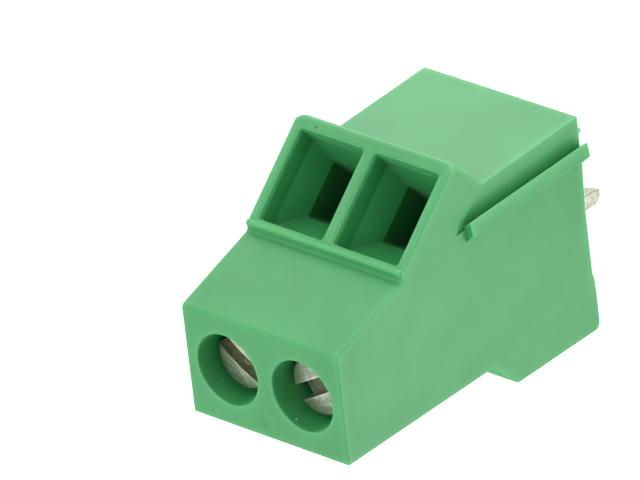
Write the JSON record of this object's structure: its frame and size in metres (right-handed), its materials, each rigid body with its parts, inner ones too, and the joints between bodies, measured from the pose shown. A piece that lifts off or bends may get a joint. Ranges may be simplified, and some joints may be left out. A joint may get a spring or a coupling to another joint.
{
  "type": "printed circuit terminal block",
  "caption": "Circuit-board terminal block with slanted wire mouths, slotted clamp screws in round wells, screw-driven rising cages and straight solder pins.",
  "frame": {"origin": "on the board's upper face, midway between the two solder pins", "axes": "+Z away from the board towards the screw heads, -Y the wire side, +X along the row of poles with the joining rib on the -X end"},
  "size_m": [0.0111, 0.0144, 0.0235],
  "materials": {
    "moulded_polyamide": "moulded, fine satin texture",
    "zinc_steel": "zinc plated, bright",
    "cage_steel": "zinc plated, dull",
    "tinned_brass": "bright tin plating"
  },
  "bodies": {
    "block": {"housing": "moulded_polyamide", "contact_bar_1": "tinned_brass", "contact_bar_2": "tinned_brass"},
    "screw_1": {"clamp_screw_1": "zinc_steel"},
    "cage_1": {"clamp_cage_1": "cage_steel"},
    "screw_2": {"clamp_screw_2": "zinc_steel"},
    "cage_2": {"clamp_cage_2": "cage_steel"}
  },
  "joints": [
    {"name": "screw_1_turn", "type": "hinge", "parent": "block", "child": "screw_1", "pos_m": [-0.00254, 0.00045, 0.018], "axis": [0, 0, 1], "range_deg": [-2448, 0]},
    {"name": "cage_1_rise", "type": "slide", "parent": "block", "child": "cage_1", "axis": [0, 0, 1], "range_m": [0, 0.0034]},
    {"name": "screw_2_turn", "type": "hinge", "parent": "block", "child": "screw_2", "pos_m": [0.00254, 0.00045, 0.018], "axis": [0, 0, 1], "range_deg": [-2448, 0]},
    {"name": "cage_2_rise", "type": "slide", "parent": "block", "child": "cage_2", "axis": [0, 0, 1], "range_m": [0, 0.0034]}
  ],
  "couplings": [
    {"joint": "screw_1_turn", "follows": "cage_1_rise", "rad_per_m": -12566},
    {"joint": "screw_2_turn", "follows": "cage_2_rise", "rad_per_m": -12566}
  ]
}
